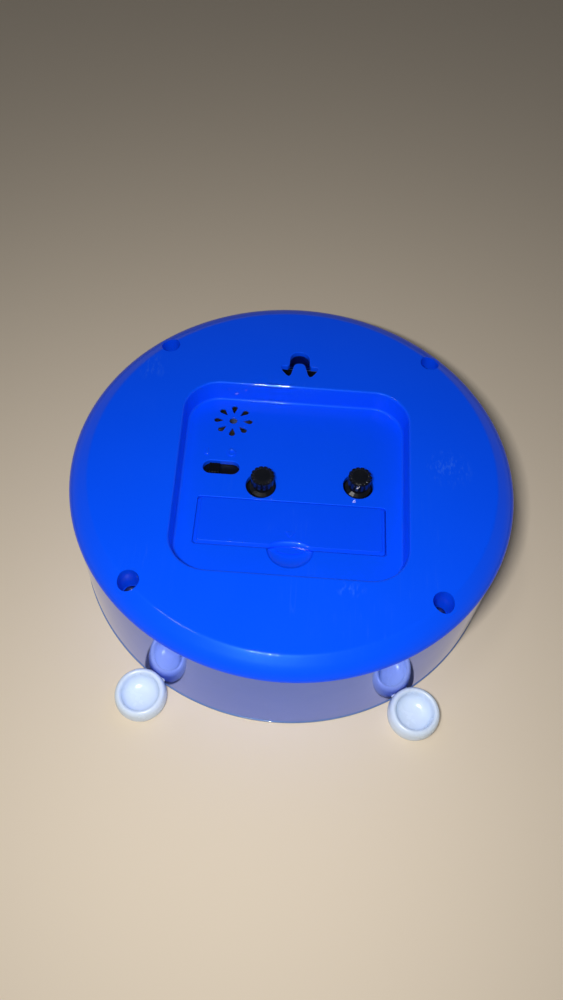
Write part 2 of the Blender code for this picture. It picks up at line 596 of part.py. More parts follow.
def make_hands(m):
    def hand(name, outline, hub_r, bore, z0, z1, mat, angle):
        a = math.radians(angle)
        # an angle counted clockwise as seen through the glass is positive about +Z
        pts = [(x * math.cos(a) - y * math.sin(a), x * math.sin(a) + y * math.cos(a)) for x, y in outline]
        ob = add_object(name, prism(pts, z0, z1), mat)
        join(ob, drum(hub_r, z0 - 0.05, z1 + 0.05, 16))
        if bore:
            cut(ob, drum(bore, z0 - 1, z1 + 1, 14))
        return ob

    taper = lambda w0, w1, l0, l1: [(-w0, -l0), (w0, -l0), (w0 * 1.0, 0), (w1, l1), (0, l1 + w1), (-w1, l1), (-w0, 0)]
    hand("alarm_hand", taper(1.5, 0.7, 4.5, 24.0), 4.6, 3.45, 6.4, 6.8, m["yellow"], 195)
    hand("hour_hand", taper(2.6, 1.6, 8.0, 36.0), 4.2, 2.55, 5.4, 5.8, m["hand"], 305.2)
    hand("minute_hand", taper(2.2, 1.2, 10.0, 53.0), 3.6, 1.65, 4.3, 4.7, m["hand"], 62.5)
    hand("second_hand", taper(0.9, 0.35, 16.0, 56.0), 2.6, 0.7, 3.1, 3.5, m["red"], 150)


def make_motor(m):
    sx0, sx1, sy0, sy1 = 6.3, 25.5, 9.0, 23.0
    rx, ry = ROTOR
    window = [(9.0, 16.2), (22.4, 16.2), (22.4, 20.0), (9.0, 20.0)]
    add_object("stator_plate", prism([(sx0, sy0), (sx1, sy0), (sx1, sy1), (sx0, sy1)], 21.15, 21.95,
                                     [circle(rx, ry, 2.85, 16), window]), m["steel"])
    mt = Matrix.Translation((0, 21.5, 21.55)) @ Matrix.Rotation(math.radians(90), 4, 'Y')
    coil = add_object("coil", turned(lathe([(0, 10.0), (3.4, 10.0), (3.4, 21.4), (0, 21.4)], 20), mt), m["copper"])
    cut(coil, block(9, 23, 19.7, 23.3, 20.85, 22.25))
    add_object("circuit_board", block(-12.0, 25.0, 12.0, 26.6, 13.6, 14.6), m["board"])
    add_object("control_chip", block(4.0, 10.0, 17.0, 22.0, 14.9, 16.0), m["black"])
    mt = Matrix.Translation((0, 24.0, 16.2)) @ Matrix.Rotation(math.radians(90), 4, 'Y')
    add_object("quartz_crystal", turned(lathe([(0, -8.0), (1.0, -8.0), (1.0, -2.4), (0.7, -2.0), (0, -2.0)], 14), mt), m["steel"])


def build():
    clear_scene()
    m = build_materials()
    make_back_cover(m)
    make_battery_door(m)
    make_case_ring(m)
    make_front(m)
    for i, c in enumerate(SCREWS):
        make_case_screw("case_screw_%d" % (i + 1), c, m)
    for name, side in (("left", -1), ("right", 1)):
        make_foot("foot_" + name, side, m)
    make_battery(m)
    make_switch(m)
    make_buzzer(m)
    make_movement_case(m)
    make_train(m)
    make_hands(m)
    make_motor(m)


build()
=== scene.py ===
import math

import bmesh
import bpy
from mathutils import Matrix, Vector
from mathutils.geometry import tessellate_polygon


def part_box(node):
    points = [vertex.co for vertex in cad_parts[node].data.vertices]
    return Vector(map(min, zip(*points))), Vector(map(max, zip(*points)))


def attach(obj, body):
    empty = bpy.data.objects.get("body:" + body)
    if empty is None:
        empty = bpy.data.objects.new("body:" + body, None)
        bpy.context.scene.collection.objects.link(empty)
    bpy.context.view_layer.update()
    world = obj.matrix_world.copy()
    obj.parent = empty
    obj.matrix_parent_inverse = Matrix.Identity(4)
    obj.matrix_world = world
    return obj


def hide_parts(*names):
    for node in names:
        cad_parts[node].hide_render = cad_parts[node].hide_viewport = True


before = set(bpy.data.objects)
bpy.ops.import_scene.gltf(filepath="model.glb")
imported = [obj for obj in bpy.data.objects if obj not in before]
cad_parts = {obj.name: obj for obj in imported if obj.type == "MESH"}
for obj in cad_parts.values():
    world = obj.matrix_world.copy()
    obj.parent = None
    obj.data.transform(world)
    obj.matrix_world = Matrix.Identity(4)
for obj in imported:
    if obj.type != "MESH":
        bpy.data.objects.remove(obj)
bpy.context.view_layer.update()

MM = 0.001
SCENE = bpy.context.scene

# ------------------------------------------------------------------ dimensions (mm, from the CAD part)
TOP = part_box("back_cover")[1].z / MM
R_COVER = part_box("back_cover")[1].x / MM
RIM_Z = TOP - 5.0
REC_Z = 33.56
REC_Y0, REC_Y1, REC_R = -41.25, 30.75, 12.0
REC_TOP_HW, REC_BOT_HW, REC_DRAFT = 38.0, 36.7, 0.55
HOLE_TIME, HOLE_ALARM, KNOB_HOLE_R = (21.87, -2.84), (-10.26, -5.12), 5.0
KNOB_TIME, KNOB_ALARM, KNOB_TOP = (21.87, -2.84), (-9.8, -5.1), 39.3
SLOT_C, SLOT_L, SLOT_W, SWITCH_TRAVEL = (-24.0, 0.85), 12.2, 5.1, 4.6
GRILLE_C = (-21.7, 20.7)
DOOR_X0, DOOR_X1, DOOR_Y0, DOOR_Y1, DOOR_T = -30.2, 30.7, -28.4, -11.1, 1.6
NOTCH_C, NOTCH_RX, NOTCH_RY = (0.55, -28.5), 7.4, 6.7
SCREWS = ((46.3, 46.6), (-46.3, 46.6), (-46.3, -46.6), (46.3, -46.6))
WELL_R, WELL_Z = 3.28, 31.0
FOOT_R, FOOT_ORBIT, FOOT_Z, FOOT_ANG = 8.26, 81.0, 3.2, 32.5
R_RING_REAR, R_RING_FRONT = 72.3, 73.15
R_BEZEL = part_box("front_bezel")[1].x / MM


# ------------------------------------------------------------------ mesh helpers (points in mm)
def add_object(name, bm, mat=None, smooth=32, origin=(0, 0, 0)):
    bmesh.ops.recalc_face_normals(bm, faces=bm.faces)
    o = Vector(origin)
    for v in bm.verts:
        v.co = (v.co - o) * MM
    me = bpy.data.meshes.new(name)
    bm.to_mesh(me)
    bm.free()
    ob = bpy.data.objects.new(name, me)
    ob.location = o * MM
    SCENE.collection.objects.link(ob)
    if mat:
        me.materials.append(mat)
    me.shade_smooth()
    me.set_sharp_from_angle(angle=math.radians(smooth))
    return ob


def lathe(profile, n=160, centre=(0, 0), closed=True, wobble=None):
    """Turned solid about Z; wobble(r, z, angle) may change the radius."""
    bm = bmesh.new()
    rings = []
    for r, z in profile:
        if r < 1e-6:
            rings.append([bm.verts.new((centre[0], centre[1], z))])
            continue
        ring = []
        for k in range(n):
            a = 2 * math.pi * k / n
            rr = wobble(r, z, a) if wobble else r
            ring.append(bm.verts.new((centre[0] + rr * math.cos(a), centre[1] + rr * math.sin(a), z)))
        rings.append(ring)
    pairs = list(zip(rings, rings[1:] + rings[:1])) if closed else list(zip(rings, rings[1:]))
    for a, b in pairs:
        if len(a) == 1 and len(b) == 1:
            continue
        for k in range(n):
            j = (k + 1) % n
            if len(a) == 1:
                bm.faces.new((a[0], b[j], b[k]))
            elif len(b) == 1:
                bm.faces.new((a[k], a[j], b[0]))
            else:
                bm.faces.new((a[k], a[j], b[j], b[k]))
    return bm


def loft(outlines):
    bm = bmesh.new()
    rings = [[bm.verts.new((x, y, z)) for x, y in pts] for pts, z in outlines]
    n = len(rings[0])
    for a, b in zip(rings, rings[1:]):
        for k in range(n):
            j = (k + 1) % n
            bm.faces.new((a[k], a[j], b[j], b[k]))
    for ring, z in ((rings[0], outlines[0][1]), (rings[-1], outlines[-1][1])):
        tris = tessellate_polygon([[Vector((v.co.x, v.co.y, 0)) for v in ring]])
        for t in tris:
            if len(set(t)) == 3:
                bm.faces.new([ring[i] for i in t])
    return bm


def prism(outline, z0, z1, holes=()):
    loops = [list(outline)] + [list(h) for h in holes]
    bm = bmesh.new()
    lo = [[bm.verts.new((x, y, z0)) for x, y in loop] for loop in loops]
    up = [[bm.verts.new((x, y, z1)) for x, y in loop] for loop in loops]
    flo = [v for loop in lo for v in loop]
    fup = [v for loop in up for v in loop]
    for t in tessellate_polygon([[Vector((x, y, 0)) for x, y in loop] for loop in loops]):
        if len(set(t)) == 3:
            bm.faces.new([flo[i] for i in t])
            bm.faces.new([fup[i] for i in t])
    for a, b in zip(lo, up):
        n = len(a)
        for i in range(n):
            j = (i + 1) % n
            bm.faces.new((a[i], a[j], b[j], b[i]))
    return bm


def block(x0, x1, y0, y1, z0, z1):
    return prism([(x0, y0), (x1, y0), (x1, y1), (x0, y1)], z0, z1)


def circle(cx, cy, r, n):
    return [(cx + r * math.cos(2 * math.pi * k / n), cy + r * math.sin(2 * math.pi * k / n)) for k in range(n)]


def drum(r, z0, z1, n=48, centre=(0, 0)):
    return lathe([(0, z0), (r, z0), (r, z1), (0, z1)], n, centre)


def offset(pts, d):
    """Outline moved outwards by d (counter-clockwise outlines)."""
    out = []
    n = len(pts)
    for i in range(n):
        a, b, c = Vector(pts[i - 1]), Vector(pts[i]), Vector(pts[(i + 1) % n])
        e1, e2 = (b - a).normalized(), (c - b).normalized()
        n1, n2 = Vector((e1.y, -e1.x)), Vector((e2.y, -e2.x))
        m = n1 + n2
        m = m.normalized() if m.length > 1e-9 else n1
        k = max(m.dot(n1), 0.5)
        out.append(tuple(b + m * (d / k)))
    return out


def rounded(pts, radii, n=5):
    """Corners of a polygon replaced by arcs (radius per corner or one number)."""
    out = []
    m = len(pts)
    for i in range(m):
        r = radii[i] if isinstance(radii, (list, tuple)) else radii
        a, b, c = Vector(pts[i - 1]), Vector(pts[i]), Vector(pts[(i + 1) % m])
        u, v = (a - b), (c - b)
        lu, lv = u.length, v.length
        u.normalize(); v.normalize()
        ang = u.angle(v)
        t = min(r / math.tan(ang / 2), 0.45 * lu, 0.45 * lv)
        p, q = b + u * t, b + v * t
        for k in range(n + 1):
            s = k / n
            out.append(tuple(p * (1 - s) ** 2 + b * 2 * s * (1 - s) + q * s ** 2))
    return out


def stadium(cx, cy, length, width, n=14):
    r, h = width / 2, (length - width) / 2
    right = [(cx + h + r * math.sin(math.pi * k / n), cy - r * math.cos(math.pi * k / n)) for k in range(n + 1)]
    left = [(cx - h - r * math.sin(math.pi * k / n), cy + r * math.cos(math.pi * k / n)) for k in range(n + 1)]
    return right + left


def recess_outline(inset, n=16):
    y0, y1, r = REC_Y0 + inset, REC_Y1 - inset, REC_R - inset
    top, bot = REC_TOP_HW - inset, REC_BOT_HW - inset
    pts = []
    for cx, cy, a0 in ((bot - r, y0 + r, -90), (top - r, y1 - r, 0), (-(top - r), y1 - r, 90), (-(bot - r), y0 + r, 180)):
        for k in range(n + 1):
            a = math.radians(a0 + 90 * k / n)
            pts.append((cx + r * math.cos(a), cy + r * math.sin(a)))
    return pts


def merged(*bms):
    out = bmesh.new()
    for bm in bms:
        me = bpy.data.meshes.new("part")
        bmesh.ops.recalc_face_normals(bm, faces=bm.faces)
        bm.to_mesh(me)
        out.from_mesh(me)
        bm.free()
        bpy.data.meshes.remove(me)
    return out


def turned(bm, matrix):
    bmesh.ops.transform(bm, matrix=matrix, verts=bm.verts)
    return bm


def boolean(ob, bm, op, smooth=32):
    tool = add_object("tool", bm)
    mod = ob.modifiers.new("b", 'BOOLEAN')
    mod.operation = op
    mod.solver = 'EXACT'
    mod.object = tool
    bpy.context.view_layer.update()
    dg = bpy.context.evaluated_depsgraph_get()
    me = bpy.data.meshes.new_from_object(ob.evaluated_get(dg))
    ob.modifiers.clear()
    mats = list(ob.data.materials)
    ob.data = me
    if not me.materials and mats:
        me.materials.append(mats[0])
    bpy.data.objects.remove(tool, do_unlink=True)
    me.shade_smooth()
    me.set_sharp_from_angle(angle=math.radians(smooth))
    return ob


def weighted(ob):
    mod = ob.modifiers.new("wn", 'WEIGHTED_NORMAL')
    mod.keep_sharp = True
    mod.weight = 60
    return ob


def spline(points, per=4):
    """Catmull-Rom curve through (r, z) points."""
    out = []
    p = [points[0]] + list(points) + [points[-1]]
    for i in range(1, len(p) - 2):
        p0, p1, p2, p3 = (Vector(q) for q in p[i - 1:i + 3])
        for k in range(per):
            t = k / per
            out.append(tuple(0.5 * ((2 * p1) + (p2 - p0) * t + (2 * p0 - 5 * p1 + 4 * p2 - p3) * t * t
                                    + (-p0 + 3 * p1 - 3 * p2 + p3) * t ** 3)))
    out.append(tuple(points[-1]))
    return out


def flared(outline, z_top, z_bot, lip, steps=4):
    """Cutter whose top edge rolls outwards with radius lip."""
    rows = [(offset(outline, lip + 0.05), z_top + 0.6), (offset(outline, lip + 0.02), z_top + 0.02)]
    for k in range(steps + 1):
        a = math.radians(90 * k / steps)
        rows.append((offset(outline, lip * (1 - math.sin(a))), z_top - lip * (1 - math.cos(a)) - 0.003))
    rows.append((outline, z_bot))
    return loft(rows)


# ------------------------------------------------------------------ material helpers
class Tree:
    def __init__(self, name):
        self.mat = bpy.data.materials.new(name)
        self.mat.use_nodes = True
        self.nt = self.mat.node_tree
        self.bsdf = self.nt.nodes["Principled BSDF"]
        self.coord = self.nt.nodes.new("ShaderNodeTexCoord")

    def node(self, kind, **inputs):
        n = self.nt.nodes.new(kind)
        for k, v in inputs.items():
            if k.startswith("_"):
                setattr(n, k[1:], v)
        for k, v in inputs.items():
            if not k.startswith("_"):
                n.inputs[k.replace("__", " ")].default_value = v
        return n

    def link(self, a, b):
        self.nt.links.new(a, b)

    def mapping(self, scale=(1, 1, 1), rot=(0, 0, 0), loc=(0, 0, 0)):
        m = self.node("ShaderNodeMapping")
        m.inputs["Scale"].default_value = scale
        m.inputs["Rotation"].default_value = rot
        m.inputs["Location"].default_value = loc
        self.link(self.coord.outputs["Object"], m.inputs["Vector"])
        return m.outputs["Vector"]

    def noise(self, scale, detail=3.0, rough=0.5, vec=None, distortion=0.0):
        n = self.node("ShaderNodeTexNoise", Scale=scale, Detail=detail, Roughness=rough, Distortion=distortion)
        self.link(vec if vec is not None else self.coord.outputs["Object"], n.inputs["Vector"])
        return n.outputs["Fac"]

    def ramp(self, fac, stops):
        r = self.node("ShaderNodeValToRGB")
        e = r.color_ramp.elements
        while len(e) < len(stops):
            e.new(0.5)
        for el, (pos, col) in zip(e, stops):
            el.position = pos
            el.color = (*col, 1.0) if isinstance(col, tuple) else (col, col, col, 1.0)
        self.link(fac, r.inputs["Fac"])
        return r.outputs["Color"]

    def maprange(self, val, a, b, c, d):
        n = self.node("ShaderNodeMapRange")
        for k, v in zip(("From Min", "From Max", "To Min", "To Max"), (a, b, c, d)):
            n.inputs[k].default_value = v
        self.link(val, n.inputs["Value"])
        return n.outputs["Result"]

    def math(self, op, a, b=None, clamp=False):
        n = self.node("ShaderNodeMath", _operation=op, _use_clamp=clamp)
        for i, v in enumerate((a, b)):
            if v is None:
                continue
            if isinstance(v, (int, float)):
                n.inputs[i].default_value = v
            else:
                self.link(v, n.inputs[i])
        return n.outputs[0]

    def mix(self, fac, a, b):
        n = self.node("ShaderNodeMix", _data_type='RGBA')
        for sock, v in ((n.inputs[0], fac), (n.inputs[6], a), (n.inputs[7], b)):
            if isinstance(v, (int, float)):
                sock.default_value = v
            elif isinstance(v, tuple):
                sock.default_value = (*v, 1.0)
            else:
                self.link(v, sock)
        return n.outputs[2]

    def bump(self, height, strength, dist):
        n = self.node("ShaderNodeBump", Strength=strength, Distance=dist)
        self.link(height, n.inputs["Height"])
        self.link(n.outputs["Normal"], self.bsdf.inputs["Normal"])
        return n

    def set(self, **kw):
        for k, v in kw.items():
            name = k.replace("__", " ")
            if isinstance(v, tuple) and len(v) == 3:
                v = (*v, 1.0)
            self.bsdf.inputs[name].default_value = v

    def scratches(self, scale, rot, seed, width=0.02, stretch=40.0):
        """Mask of sparse fine straight scratches in one direction."""
        vec = self.mapping((scale, scale / stretch, scale), rot, (seed, seed * 0.7, 0))
        f = self.noise(1.0, 1.0, 0.3, vec)
        line = self.math('ABSOLUTE', self.math('SUBTRACT', f, 0.5))
        line = self.maprange(line, 0.0, width, 1.0, 0.0)
        gate = self.maprange(self.noise(38.0 + seed, 2.0, 0.5), 0.56, 0.68, 0.0, 1.0)
        return self.math('MULTIPLY', line, gate, clamp=True)


def spot(t, centre, radius, squeeze=(1, 1, 1)):
    """1 at a point of the object, falling to 0 at a radius (metres)."""
    m = t.mapping(tuple(s / radius for s in squeeze), (0, 0, 0), tuple(-c * s / radius for c, s in zip(centre, squeeze)))
    g = t.node("ShaderNodeTexGradient", _gradient_type='SPHERICAL')
    t.link(m, g.inputs["Vector"])
    return g.outputs["Fac"]


def blue_plastic(name, base=(0.0, 0.079, 1.0), scuffs=()):
    t = Tree(name)
    vary = t.noise(14.0, 3.0, 0.55)
    dark = tuple(c * 0.94 for c in base)
    light = (base[0] + 0.002, base[1] * 1.06, min(base[2] * 1.02, 1.0))
    col = t.mix(vary, dark, light)
    s1 = t.scratches(900.0, (0, 0, math.radians(24)), 3.1, 0.012, 60)
    s2 = t.scratches(700.0, (0, 0, math.radians(-48)), 7.7, 0.010, 50)
    s3 = t.scratches(1100.0, (0, 0, math.radians(83)), 5.3, 0.010, 70)
    wear = t.math('MAXIMUM', t.math('MAXIMUM', s1, s2), s3)
    dust = t.maprange(t.noise(2600.0, 1.0, 0.4), 0.74, 0.80, 0.0, 1.0)
    patch = None
    for (cx, cy, cz), rad, sq in scuffs:
        m = t.maprange(spot(t, (cx, cy, cz), rad, sq), 0.0, 0.7, 0.0, 1.0)
        patch = m if patch is None else t.math('MAXIMUM', patch, m)
    mark = t.math('MULTIPLY', wear, 0.10)
    mark = t.math('MAXIMUM', mark, t.math('MULTIPLY', dust, 0.08))
    if patch is not None:
        rub = t.maprange(t.noise(950.0, 4.0, 0.7, t.mapping((1, 0.35, 1), (0, 0, math.radians(-35)))), 0.52, 0.66, 0.0, 1.0)
        mark = t.math('MAXIMUM', mark, t.math('MULTIPLY', t.math('MULTIPLY', rub, patch), 0.35))
    col = t.mix(t.math('MULTIPLY', mark, 0.45), col, (0.10, 0.36, 1.0))
    t.link(col, t.bsdf.inputs["Base Color"])
    r = t.maprange(t.noise(60.0, 4.0, 0.6), 0.3, 0.7, 0.36, 0.42)
    r = t.math('ADD', r, t.math('MULTIPLY', mark, 0.35), clamp=True)
    t.link(r, t.bsdf.inputs["Roughness"])
    peel = t.noise(330.0, 2.0, 0.5)
    t.bump(t.math('SUBTRACT', peel, t.math('MULTIPLY', mark, 0.6)), 0.05, 0.0004)
    t.set(Specular__IOR__Level=0.3, Specular__Tint=(0.12, 0.5, 1.0), Coat__Weight=0.45, Coat__Roughness=0.022, Coat__Tint=(0.9, 0.97, 1.0))
    return t.mat


def plated(name):
    t = Tree(name)
    col = t.mix(t.noise(22.0, 3.0, 0.6), (0.095, 0.19, 0.78), (0.125, 0.23, 0.86))
    t.link(col, t.bsdf.inputs["Base Color"])
    s = t.scratches(420.0, (math.radians(90), 0, 0), 2.2, 0.010, 30)
    haze = t.maprange(t.noise(70.0, 4.0, 0.65), 0.35, 0.75, 0.035, 0.085)
    t.link(t.math('ADD', haze, t.math('MULTIPLY', s, 0.2), clamp=True), t.bsdf.inputs["Roughness"])
    t.bump(t.noise(85.0, 2.0, 0.5), 0.045, 0.0012)
    t.set(Metallic=1.0)
    return t.mat


def plastic(name, base, rough=0.35, bump=0.05, scale=400.0, var=0.08, spec=0.5, metallic=0.0, sheen=0.0):
    t = Tree(name)
    lo = tuple(max(c * (1 - var), 0.0) for c in base)
    hi = tuple(min(c * (1 + var) + 0.002, 1.0) for c in base)
    t.link(t.mix(t.noise(45.0, 4.0, 0.6), lo, hi), t.bsdf.inputs["Base Color"])
    t.link(t.maprange(t.noise(120.0, 4.0, 0.6), 0.3, 0.7, rough * 0.8, min(rough * 1.25, 1.0)), t.bsdf.inputs["Roughness"])
    t.bump(t.noise(scale, 3.0, 0.6), bump, 0.0004)
    t.set(Specular__IOR__Level=spec, Metallic=metallic)
    return t.mat


def brushed(name, base, rough=0.3):
    t = Tree(name)
    vec = t.mapping((60, 1400, 1400))
    g = t.noise(1.0, 3.0, 0.6, vec)
    t.link(t.mix(g, tuple(c * 0.85 for c in base), tuple(min(c * 1.1, 1.0) for c in base)), t.bsdf.inputs["Base Color"])
    t.link(t.maprange(g, 0.3, 0.7, rough * 0.7, rough * 1.4), t.bsdf.inputs["Roughness"])
    t.bump(g, 0.08, 0.0002)
    t.set(Metallic=1.0)
    return t.mat


def foot_plastic(name):
    t = Tree(name)
    col = t.mix(t.noise(60.0, 3.0, 0.5), (0.64, 0.77, 0.98), (0.70, 0.82, 1.0))
    t.link(col, t.bsdf.inputs["Base Color"])
    t.link(t.maprange(t.noise(180.0, 3.0, 0.6), 0.3, 0.7, 0.20, 0.30), t.bsdf.inputs["Roughness"])
    t.bump(t.noise(420.0, 2.0, 0.5), 0.04, 0.0004)
    t.set(Specular__IOR__Level=0.5, Subsurface__Weight=0.25, Subsurface__Scale=0.004)
    t.bsdf.inputs["Subsurface Radius"].default_value = (0.8, 0.9, 1.0)
    return t.mat


def glass(name):
    t = Tree(name)
    t.link(t.maprange(t.noise(160.0, 4.0, 0.6), 0.4, 0.8, 0.02, 0.07), t.bsdf.inputs["Roughness"])
    t.bump(t.noise(60.0, 2.0, 0.5), 0.02, 0.0005)
    t.set(Base__Color=(0.98, 0.99, 1.0), Transmission__Weight=1.0, IOR=1.46)
    return t.mat


def dial_material():
    """White card face, dark unprinted back."""
    t = Tree("dial_face")
    z = t.node("ShaderNodeSeparateXYZ")
    t.link(t.coord.outputs["Object"], z.inputs[0])
    back = t.maprange(z.outputs["Z"], 0.0094, 0.0098, 0.0, 1.0)
    face = t.mix(t.noise(45.0, 4.0, 0.6), (0.84, 0.86, 0.90), (0.88, 0.90, 0.94))
    t.link(t.mix(back, face, (0.012, 0.014, 0.02)), t.bsdf.inputs["Base Color"])
    t.link(t.maprange(t.noise(120.0, 4.0, 0.6), 0.3, 0.7, 0.42, 0.6), t.bsdf.inputs["Roughness"])
    t.bump(t.noise(900.0, 3.0, 0.6), 0.02, 0.0004)
    t.set(Specular__IOR__Level=0.3)
    return t.mat


def floor_material():
    t = Tree("floor_pale")
    t.link(t.mix(t.noise(3.0, 2.0, 0.5), (0.70, 0.61, 0.485), (0.74, 0.65, 0.52)), t.bsdf.inputs["Base Color"])
    t.set(Roughness=0.9, Specular__IOR__Level=0.1)
    return t.mat


M = {}


def materials():
    M["blue"] = blue_plastic("blue_cover", scuffs=(
        ((0.0505, 0.001, 0.0415), 0.0085, (1.0, 1.0, 1.0)),
        ((0.0185, -0.0448, 0.0415), 0.0045, (0.8, 1.5, 1.0)),
        ((0.002, 0.030, 0.0415), 0.006, (0.7, 1.6, 1.0)),
        ((-0.052, 0.036, 0.0415), 0.007, (1.0, 1.0, 1.0)),
    ))
    M["door"] = blue_plastic("blue_door", base=(0.0, 0.070, 0.97), scuffs=(((0.0, -0.024, 0.0335), 0.006, (0.7, 1.4, 1.0)),))
    M["bezel"] = blue_plastic("blue_bezel", base=(0.13, 0.21, 0.50))
    M["wall"] = plated("plated_wall")
    M["foot"] = foot_plastic("lilac_plastic")
    M["black"] = plastic("black_plastic", (0.0045, 0.0055, 0.009), 0.16, 0.05, 500.0, 0.2, 0.6)
    M["dark"] = plastic("movement_black", (0.004, 0.004, 0.007), 0.55, 0.08, 300.0, 0.2, 0.12)
    M["slider"] = plastic("slider_black", (0.0022, 0.0028, 0.0045), 0.30, 0.06, 500.0, 0.2, 0.22)
    M["white"] = plastic("white_plastic", (0.80, 0.80, 0.82), 0.42, 0.05, 350.0, 0.03)
    M["dial"] = dial_material()
    M["print"] = plastic("dial_print", (0.01, 0.05, 0.45), 0.45, 0.03, 700.0, 0.08, 0.3)
    M["hand"] = plastic("dark_hand", (0.008, 0.015, 0.09), 0.3, 0.03, 600.0, 0.1, 0.5)
    M["red"] = plastic("red_hand", (0.66, 0.015, 0.015), 0.3, 0.03, 600.0, 0.06, 0.5)
    M["yellow"] = plastic("yellow_hand", (0.85, 0.45, 0.015), 0.32, 0.03, 600.0, 0.06, 0.5)
    M["acetal"] = plastic("acetal", (0.78, 0.76, 0.68), 0.38, 0.04, 500.0, 0.05, 0.4)
    M["steel"] = brushed("zinc_steel", (0.60, 0.61, 0.63), 0.3)
    # screw steel darkened to paint the shade that fills the screw wells
    M["blackened"] = brushed("blackened_steel", (0.15, 0.16, 0.19), 0.32)
    M["brass"] = brushed("brass_turned", (0.76, 0.55, 0.22), 0.28)
    M["copper"] = brushed("copper_winding", (0.70, 0.28, 0.10), 0.35)
    M["board"] = plastic("circuit_board", (0.015, 0.16, 0.05), 0.35, 0.1, 800.0, 0.15)
    M["cell"] = plastic("cell_wrap", (0.03, 0.03, 0.035), 0.28, 0.03, 200.0, 0.2, 0.5, 0.3)
    M["rubber"] = plastic("rubber", (0.02, 0.02, 0.02), 0.75, 0.15, 600.0, 0.2, 0.2)
    M["glass"] = glass("clear_front")


# ------------------------------------------------------------------ camera, floor, light
def camera():
    right = Vector((0.99756138, 0.05828618, 0.03839298))
    down = Vector((0.0697797, -0.84429356, -0.53131834))
    look = Vector((0.00144643, 0.53270171, -0.84630184))
    pos = Vector((-3.50786, -142.97467, 202.54143 + TOP)) * MM
    m = Matrix((right, -down, -look)).transposed().to_4x4()
    m.translation = pos
    cam = bpy.data.cameras.new("camera")
    ob = bpy.data.objects.new("camera", cam)
    SCENE.collection.objects.link(ob)
    ob.matrix_world = m
    cam.sensor_width = 36.0
    cam.lens = 763.7 / 1000.0 * 36.0
    cam.clip_start, cam.clip_end = 0.01, 20.0
    SCENE.camera = ob


def area(name, loc, target, size, power, color=(1, 1, 1), size_y=None):
    li = bpy.data.lights.new(name, 'AREA')
    li.energy = power
    li.color = color
    li.shape = 'RECTANGLE' if size_y else 'SQUARE'
    li.size = size
    if size_y:
        li.size_y = size_y
    ob = bpy.data.objects.new(name, li)
    SCENE.collection.objects.link(ob)
    ob.location = loc
    d = Vector(target) - Vector(loc)
    ob.rotation_euler = d.to_track_quat('-Z', 'Y').to_euler()
    return ob


def stage():
    SCENE.view_settings.view_transform = 'Standard'
    w = bpy.data.worlds.new("world")
    SCENE.world = w
    w.use_nodes = True
    nt = w.node_tree
    bg = nt.nodes["Background"]
    tc = nt.nodes.new("ShaderNodeTexCoord")
    sep = nt.nodes.new("ShaderNodeSeparateXYZ")
    nt.links.new(tc.outputs["Generated"], sep.inputs[0])
    rmp = nt.nodes.new("ShaderNodeValToRGB")
    e = rmp.color_ramp.elements
    e[0].position, e[0].color = 0.0, (0.62, 0.60, 0.57, 1)
    e[1].position, e[1].color = 0.75, (0.03, 0.035, 0.045, 1)
    el = e.new(0.35)
    el.color = (0.30, 0.30, 0.31, 1)
    nt.links.new(sep.outputs["Z"], rmp.inputs["Fac"])
    nt.links.new(rmp.outputs["Color"], bg.inputs["Color"])
    bg.inputs["Strength"].default_value = 0.56
    bm = bmesh.new()
    bmesh.ops.create_grid(bm, x_segments=1, y_segments=1, size=4000)
    floor = add_object("floor", bm, floor_material())
    area("key", (-0.021, -0.141, 0.246), (0, -0.01, 0.04), 0.040, 0.60, (1.0, 0.97, 0.94), 0.005)
    area("ceiling", (-0.75, -0.15, 1.95), (0, 0, 0.03), 0.50, 2.2, (1.0, 0.98, 0.96), 0.16)


# ------------------------------------------------------------------ back cover
def hanger_outline():
    arch = [(3.4 * math.cos(math.radians(a)), 43.9 + 3.4 * math.sin(math.radians(a))) for a in range(0, 181, 12)]
    left = [(-3.55, 41.2), (-4.2, 40.3), (-6.1, 40.5), (-6.5, 40.0), (-5.9, 38.2), (-4.3, 36.3), (-3.5, 35.9)]
    tongue = [(-2.9, 36.8), (-2.45, 38.9), (-2.0, 41.0), (-1.3, 41.8), (0.0, 42.0), (1.3, 41.8), (2.0, 41.0),
              (2.55, 38.9), (3.1, 36.9)]
    right = [(3.8, 36.0), (4.6, 36.4), (6.0, 38.4), (6.55, 40.1), (6.1, 40.6), (4.2, 40.45), (3.6, 41.3)]
    return left + tongue + right + arch


def petal(cx, cy, a):
    pts = [(3.2, -0.1)]
    for t in range(-100, 101, 20):
        pts.append((5.6 + 1.05 * math.cos(math.radians(t)), 1.05 * math.sin(math.radians(t))))
    pts.append((3.2, 0.1))
    return [(cx + x * math.cos(a) - y * math.sin(a), cy + x * math.sin(a) + y * math.cos(a)) for x, y in pts]


def scoop(ry, depth, n=64):
    prof = [(0, -1.0)] + [(math.cos(math.radians(a)), math.sin(math.radians(a))) for a in range(-84, 1, 6)] + [(1.03, 0.25), (0, 0.25)]
    return turned(lathe(prof, n), Matrix.Translation((NOTCH_C[0], NOTCH_C[1], REC_Z)) @ Matrix.Diagonal((NOTCH_RX, ry, depth, 1)))


